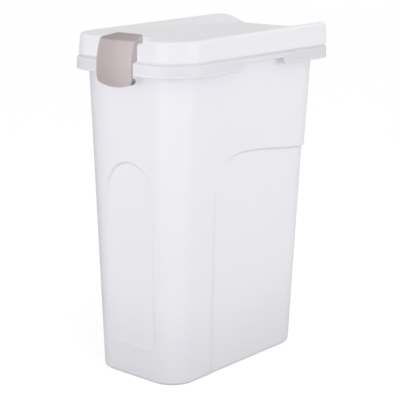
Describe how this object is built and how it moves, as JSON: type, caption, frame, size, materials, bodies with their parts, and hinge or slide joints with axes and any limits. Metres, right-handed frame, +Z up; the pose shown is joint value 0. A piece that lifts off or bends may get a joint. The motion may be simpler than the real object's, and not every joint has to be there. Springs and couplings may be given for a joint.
{
  "type": "pet food bin",
  "caption": "Tall translucent plastic bin for dry pet food, with a rolled collar, hand-holds, a hinged saddle-shaped lid and a swing-up front clip.",
  "frame": {"origin": "middle of the whole part's plan, on the surface that it stands on", "axes": "+Z up, -Y towards the clip at the front, +Y towards the lid's hinges, X across"},
  "size_m": [0.2692, 0.4692, 0.6061],
  "materials": {
    "translucent_plastic": "milky translucent, fine satin",
    "white_plastic": "satin",
    "seal_rubber": "matt",
    "taupe_plastic": "satin",
    "clip_pin_plastic": "satin",
    "hinge_pin_plastic": "satin"
  },
  "bodies": {
    "tub": {"tub": "translucent_plastic", "clip_pin": "clip_pin_plastic", "hinge_pin_left": "hinge_pin_plastic", "hinge_pin_right": "hinge_pin_plastic"},
    "lid": {"lid": "white_plastic", "lid_seal": "seal_rubber"},
    "clip": {"clip": "taupe_plastic"}
  },
  "joints": [
    {"name": "lid_hinge", "type": "hinge", "parent": "tub", "child": "lid", "pos_m": [0, 0.22809, 0.571], "axis": [-1, 0, 0], "range_deg": [0, 108]},
    {"name": "clip_hinge", "type": "hinge", "parent": "tub", "child": "clip", "pos_m": [0, -0.22589, 0.5305], "axis": [1, 0, 0], "range_deg": [0, 106]}
  ]
}
